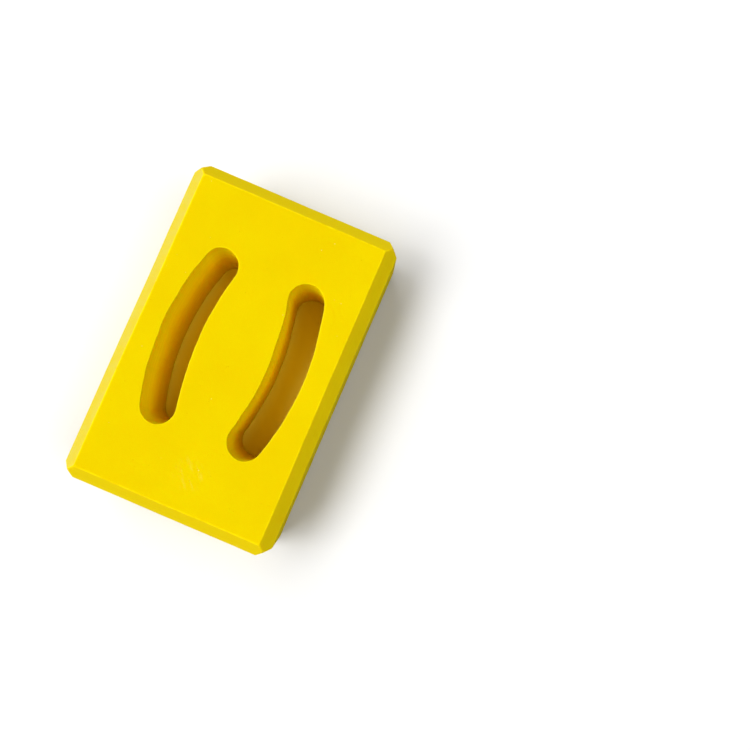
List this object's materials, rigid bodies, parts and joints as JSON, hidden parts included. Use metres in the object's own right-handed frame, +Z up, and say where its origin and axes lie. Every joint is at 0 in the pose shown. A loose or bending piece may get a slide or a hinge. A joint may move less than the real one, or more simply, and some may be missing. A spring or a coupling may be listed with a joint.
{
  "type": "foam block with curved grip slots",
  "caption": "Rectangular closed-cell foam block with chamfered edges and a mirrored pair of curved slots right through it.",
  "frame": {"origin": "middle of the large face that the block lies on", "axes": "+Z up through the block's thickness, +Y along its length and along the slots, +X across it"},
  "size_m": [0.15, 0.23, 0.075],
  "materials": {
    "yellow_foam": "matte closed-cell EVA foam, dyed yellow through"
  },
  "bodies": {
    "root": {"foam_block": "yellow_foam"}
  },
  "joints": []
}
